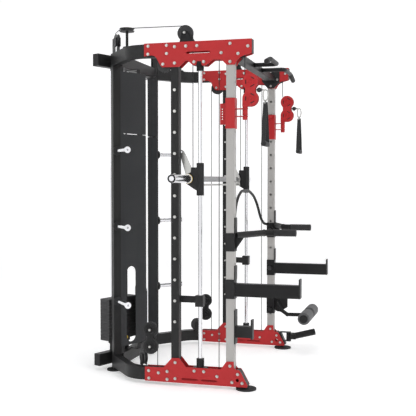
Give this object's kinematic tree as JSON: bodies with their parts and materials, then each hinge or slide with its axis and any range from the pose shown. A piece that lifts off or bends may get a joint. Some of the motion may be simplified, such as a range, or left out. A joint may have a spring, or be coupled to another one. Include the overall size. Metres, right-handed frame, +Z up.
{
  "type": "smith machine",
  "caption": "Counterbalanced barbell on guide rods in a rack with cable carriages, angled rear weight stacks, dip and spotter arms, pull-up grips, leg roller and storage pegs.",
  "frame": {"origin": "floor, at the middle of the machine's width and depth", "axes": "+Z up, +Y to the weight stacks at the rear, X along the bar"},
  "size_m": [1.972, 1.4298, 2.236],
  "materials": {
    "red_paint": "satin",
    "black_paint": "satin",
    "silver_paint": "satin",
    "chrome": "polished",
    "zinc": "zinc plated",
    "steel": "knurled",
    "iron": "satin black",
    "rubber": "matt",
    "pulley_nylon": "satin",
    "cable": "coated cable",
    "shroud_sheet": "satin",
    "foam": "foam",
    "strap_web": "woven",
    "yellow": "satin"
  },
  "bodies": {
    "frame": {"upper_plates_outer": "red_paint", "upper_plates_inner": "red_paint", "lower_plates_outer": "red_paint", "lower_plates_inner": "red_paint", "front_uprights": "silver_paint", "rear_uprights": "black_paint", "catch_pins": "zinc", "upper_bent_tubes": "black_paint", "lower_bent_tubes": "black_paint", "rear_columns": "black_paint", "rear_crossmembers": "black_paint", "tower_beams": "black_paint", "guide_rods": "chrome", "stack_cushions": "rubber", "shrouds_lower": "shroud_sheet", "shrouds_upper": "shroud_sheet", "shroud_brackets": "black_paint", "smith_rods": "chrome", "rod_brackets": "black_paint", "pull_up_crossmember": "black_paint", "pull_up_bars": "black_paint", "front_spacers": "black_paint", "foot_pads": "rubber", "storage_pegs": "chrome", "peg_collars": "rubber", "frame_bolts": "zinc", "spotter_arms": "black_paint", "dip_arms": "black_paint", "arched_brace": "black_paint", "j_cup": "black_paint", "smith_stops": "black_paint", "pulley_brackets": "black_paint", "fixed_pulleys": "pulley_nylon", "frame_cables": "cable", "leg_roller_arm": "black_paint", "landmine_base": "black_paint"},
    "smith_carriage": {"smith_sliders": "black_paint", "lift_cables": "cable"},
    "smith_bar_body": {"smith_bar": "steel", "bar_sleeves": "chrome", "hook_levers": "zinc"},
    "counterweight_body": {"counterweights": "iron"},
    "top_pulley_body": {"top_pulleys": "pulley_nylon"},
    "foam_body": {"foam_roller": "foam"},
    "mine_yoke_body": {"landmine_yoke": "black_paint"},
    "mine_tube_body": {"landmine_tube": "black_paint"},
    "carriage_body_left": {"carriage_left": "red_paint", "head_cable_left": "cable"},
    "head_body_left": {"head_left": "red_paint", "head_wheels_left": "pulley_nylon"},
    "handle_body_left": {"handle_left": "strap_web"},
    "stack_body_left": {"stack_left": "iron", "selector_left": "yellow"},
    "carriage_body_right": {"carriage_right": "red_paint", "head_cable_right": "cable"},
    "head_body_right": {"head_right": "red_paint", "head_wheels_right": "pulley_nylon"},
    "handle_body_right": {"handle_right": "strap_web"},
    "stack_body_right": {"stack_right": "iron", "selector_right": "yellow"}
  },
  "joints": [
    {"name": "smith_slide", "type": "slide", "parent": "frame", "child": "smith_carriage", "axis": [0, 0, 1], "range_m": [-0.3885, 0.518], "deforming": ["lift_cables"]},
    {"name": "smith_bar_twist", "type": "hinge", "parent": "smith_carriage", "child": "smith_bar_body", "pos_m": [0, -0.02586, 1.28], "axis": [1, 0, 0], "range_deg": [-8, 25]},
    {"name": "counterweight_slide", "type": "slide", "parent": "frame", "child": "counterweight_body", "axis": [0, 0, 1], "range_m": [-0.518, 0.3885]},
    {"name": "top_pulley_spin", "type": "hinge", "parent": "frame", "child": "top_pulley_body", "pos_m": [0, 0.00014, 2.169], "axis": [1, 0, 0], "continuous": true},
    {"name": "foam_roller_spin", "type": "hinge", "parent": "frame", "child": "foam_body", "pos_m": [0.63, -0.57386, 0.267], "axis": [1, 0, 0], "continuous": true},
    {"name": "landmine_swivel", "type": "hinge", "parent": "frame", "child": "mine_yoke_body", "pos_m": [0.63, -0.42486, 0.045], "axis": [0, 0, 1], "range_deg": [-40, 40]},
    {"name": "landmine_tilt", "type": "hinge", "parent": "mine_yoke_body", "child": "mine_tube_body", "pos_m": [0.63, -0.46786, 0.094], "axis": [-1, 0, 0], "range_deg": [-8, 20]},
    {"name": "carriage_slide_left", "type": "slide", "parent": "frame", "child": "carriage_body_left", "axis": [0, 0, 1], "range_m": [-0.5, 0.05], "deforming": ["head_cable_left"]},
    {"name": "head_swivel_left", "type": "hinge", "parent": "carriage_body_left", "child": "head_body_left", "pos_m": [-0.63, -0.37386, 1.7], "axis": [0, 0, 1], "range_deg": [-60, 60]},
    {"name": "handle_pull_left", "type": "slide", "parent": "head_body_left", "child": "handle_body_left", "axis": [0, -1, 0], "range_m": [0, 0.8]},
    {"name": "stack_lift_left", "type": "slide", "parent": "frame", "child": "stack_body_left", "axis": [0, 0, 1], "range_m": [0, 0.8]},
    {"name": "carriage_slide_right", "type": "slide", "parent": "frame", "child": "carriage_body_right", "axis": [0, 0, 1], "range_m": [-0.5, 0.05], "deforming": ["head_cable_right"]},
    {"name": "head_swivel_right", "type": "hinge", "parent": "carriage_body_right", "child": "head_body_right", "pos_m": [0.63, -0.37386, 1.7], "axis": [0, 0, 1], "range_deg": [-60, 60]},
    {"name": "handle_pull_right", "type": "slide", "parent": "head_body_right", "child": "handle_body_right", "axis": [0, -1, 0], "range_m": [0, 0.8]},
    {"name": "stack_lift_right", "type": "slide", "parent": "frame", "child": "stack_body_right", "axis": [0, 0, 1], "range_m": [0, 0.8]}
  ],
  "couplings": [
    {"joint": "counterweight_slide", "follows": "smith_slide", "ratio": -1},
    {"joint": "handle_pull_left", "follows": "stack_lift_left", "ratio": 1},
    {"joint": "handle_pull_right", "follows": "stack_lift_right", "ratio": 1}
  ]
}
